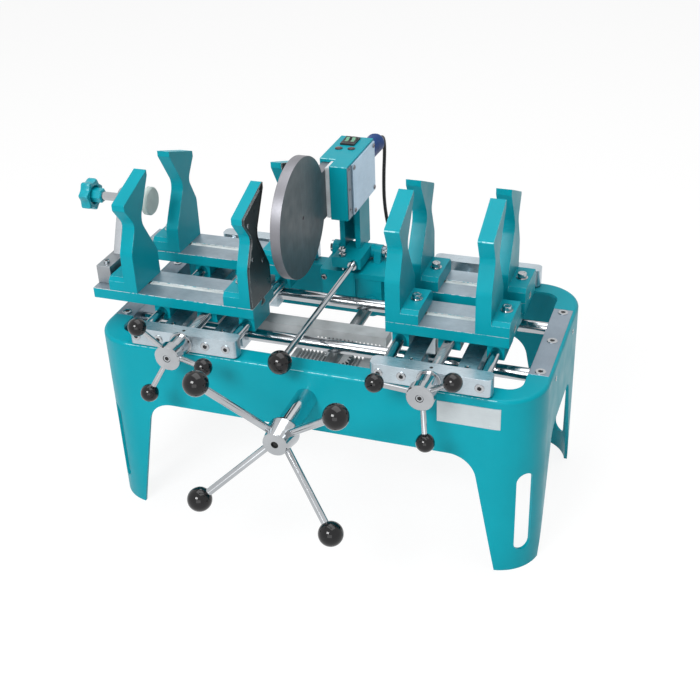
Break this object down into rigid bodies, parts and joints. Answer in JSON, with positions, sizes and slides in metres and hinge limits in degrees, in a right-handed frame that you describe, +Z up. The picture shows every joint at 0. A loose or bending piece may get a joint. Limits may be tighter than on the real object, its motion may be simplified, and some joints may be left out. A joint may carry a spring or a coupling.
{
  "type": "pipe fusion machine",
  "caption": "Bench-top socket-fusion machine: sheet-metal table, geared carriages with V-shaped pipe jaws worked by ball-ended handles, and a swing-in round heater plate with a switch box.",
  "frame": {"origin": "on the floor, under the middle of the machine's bounding box without the cord", "axes": "+X to the operator's right along the guide rods, +Y to the rear, +Z up"},
  "size_m": [0.782, 0.7419, 0.551],
  "materials": {
    "teal_paint": "glossy enamel",
    "teal_plastic": "moulded, glossy",
    "bare_aluminium": "milled and lightly polished",
    "bright_steel": "polished or plated",
    "ground_steel": "ground and machined",
    "grey_paint": "satin",
    "dark_sheet": "matt dark coat",
    "black_knob": "moulded, glossy",
    "heater_coating": "non-stick coat, satin",
    "blue_grip": "moulded, satin",
    "black_trim": "moulded",
    "green_rocker": "translucent moulded key",
    "white_pad": "machined plastic",
    "cord_rubber": "flexible sheath"
  },
  "bodies": {
    "stand": {"table_frame": "teal_paint", "end_plates": "grey_paint", "guide_rods": "bright_steel", "front_shaft_bearing": "ground_steel", "rear_shaft_bearing": "teal_paint", "heater_base": "teal_paint", "hinge_pin": "bright_steel", "cord_lead": "cord_rubber", "cord_coil": "cord_rubber", "mains_plug": "black_trim"},
    "drive": {"pinion_shaft": "ground_steel", "handwheel_spider": "bright_steel", "handwheel_knobs": "black_knob"},
    "heater": {"heater_arm": "teal_paint", "rest_screw": "bright_steel", "heater_lever": "bright_steel", "lever_knob": "black_knob", "heater_housing": "teal_paint", "cover_plate": "bare_aluminium", "heater_plate": "heater_coating", "spacer_plate": "bare_aluminium", "hand_grip": "blue_grip", "switch_bezel": "black_trim", "cord_gland": "cord_rubber"},
    "left_rocker": {"left_rocker": "green_rocker"},
    "right_rocker": {"right_rocker": "green_rocker"},
    "stop_pad": {"stop_pad": "white_pad"},
    "stop_screw": {"stop_screw": "bright_steel", "stop_knob": "teal_plastic"},
    "left_carriage": {"left_front_block": "bare_aluminium", "left_rear_block": "bare_aluminium", "left_cross_rods": "bright_steel", "left_slide_bars": "bare_aluminium", "left_rack": "ground_steel"},
    "left_spindle": {"left_spindle": "bright_steel", "left_handle": "bright_steel", "left_handle_knobs": "black_knob"},
    "left_front_jaw": {"left_front_jaw": "teal_paint", "left_front_supports": "teal_paint", "left_front_support_screws": "bright_steel", "left_front_liner": "dark_sheet", "stop_bracket": "bare_aluminium"},
    "left_rear_jaw": {"left_rear_jaw": "teal_paint", "left_rear_supports": "teal_paint", "left_rear_support_screws": "bright_steel", "left_rear_liner": "dark_sheet"},
    "right_carriage": {"right_front_block": "bare_aluminium", "right_rear_block": "bare_aluminium", "right_cross_rods": "bright_steel", "right_slide_bars": "bare_aluminium", "right_rack": "ground_steel"},
    "right_spindle": {"right_spindle": "bright_steel", "right_handle": "bright_steel", "right_handle_knobs": "black_knob"},
    "right_front_jaw": {"right_front_jaw": "teal_paint", "right_front_supports": "teal_paint", "right_front_support_screws": "bright_steel"},
    "right_rear_jaw": {"right_rear_jaw": "teal_paint", "right_rear_supports": "teal_paint", "right_rear_support_screws": "bright_steel"}
  },
  "joints": [
    {"name": "left_carriage_slide", "type": "slide", "parent": "stand", "child": "left_carriage", "axis": [1, 0, 0], "range_m": [-0.06, 0.014]},
    {"name": "right_carriage_slide", "type": "slide", "parent": "stand", "child": "right_carriage", "axis": [1, 0, 0], "range_m": [-0.014, 0.06]},
    {"name": "drive_turn", "type": "hinge", "parent": "stand", "child": "drive", "pos_m": [0.047, 0.0155, 0.256], "axis": [0, 1, 0], "range_deg": [-156.76, 36.96]},
    {"name": "heater_swing", "type": "hinge", "parent": "stand", "child": "heater", "pos_m": [0.01, 0.1915, 0.327], "axis": [-1, 0, 0], "range_deg": [0, 70], "deforming": ["cord_lead"]},
    {"name": "left_rocker_tilt", "type": "hinge", "parent": "heater", "child": "left_rocker", "pos_m": [-0.0157, 0.224, 0.5045], "axis": [1, 0, 0], "range_deg": [-20, 0]},
    {"name": "right_rocker_tilt", "type": "hinge", "parent": "heater", "child": "right_rocker", "pos_m": [-0.0053, 0.224, 0.5045], "axis": [1, 0, 0], "range_deg": [-20, 0]},
    {"name": "stop_pad_slide", "type": "slide", "parent": "left_front_jaw", "child": "stop_pad", "axis": [1, 0, 0], "range_m": [-0.022, 0.02]},
    {"name": "stop_screw_turn", "type": "hinge", "parent": "stop_pad", "child": "stop_screw", "pos_m": [-0.339, 0.0155, 0.457], "axis": [1, 0, 0], "range_deg": [-3961, 3601]},
    {"name": "left_front_jaw_slide", "type": "slide", "parent": "left_carriage", "child": "left_front_jaw", "axis": [0, 1, 0], "range_m": [-0.04, 0.022]},
    {"name": "left_rear_jaw_slide", "type": "slide", "parent": "left_carriage", "child": "left_rear_jaw", "axis": [0, 1, 0], "range_m": [-0.022, 0.04]},
    {"name": "left_spindle_turn", "type": "hinge", "parent": "left_carriage", "child": "left_spindle", "pos_m": [-0.1475, 0.0155, 0.32], "axis": [0, 1, 0], "range_deg": [-3601, 1981]},
    {"name": "right_front_jaw_slide", "type": "slide", "parent": "right_carriage", "child": "right_front_jaw", "axis": [0, 1, 0], "range_m": [-0.06, 0.012]},
    {"name": "right_rear_jaw_slide", "type": "slide", "parent": "right_carriage", "child": "right_rear_jaw", "axis": [0, 1, 0], "range_m": [-0.012, 0.06]},
    {"name": "right_spindle_turn", "type": "hinge", "parent": "right_carriage", "child": "right_spindle", "pos_m": [0.2335, 0.0155, 0.32], "axis": [0, 1, 0], "range_deg": [-5401, 1081]}
  ],
  "couplings": [
    {"joint": "right_carriage_slide", "follows": "left_carriage_slide", "ratio": -1},
    {"joint": "drive_turn", "follows": "left_carriage_slide", "rad_per_m": 45.455},
    {"joint": "stop_screw_turn", "follows": "stop_pad_slide", "rad_per_m": 3141.6},
    {"joint": "left_rear_jaw_slide", "follows": "left_front_jaw_slide", "ratio": -1},
    {"joint": "left_spindle_turn", "follows": "left_front_jaw_slide", "rad_per_m": 1570.8},
    {"joint": "right_rear_jaw_slide", "follows": "right_front_jaw_slide", "ratio": -1},
    {"joint": "right_spindle_turn", "follows": "right_front_jaw_slide", "rad_per_m": 1570.8}
  ]
}
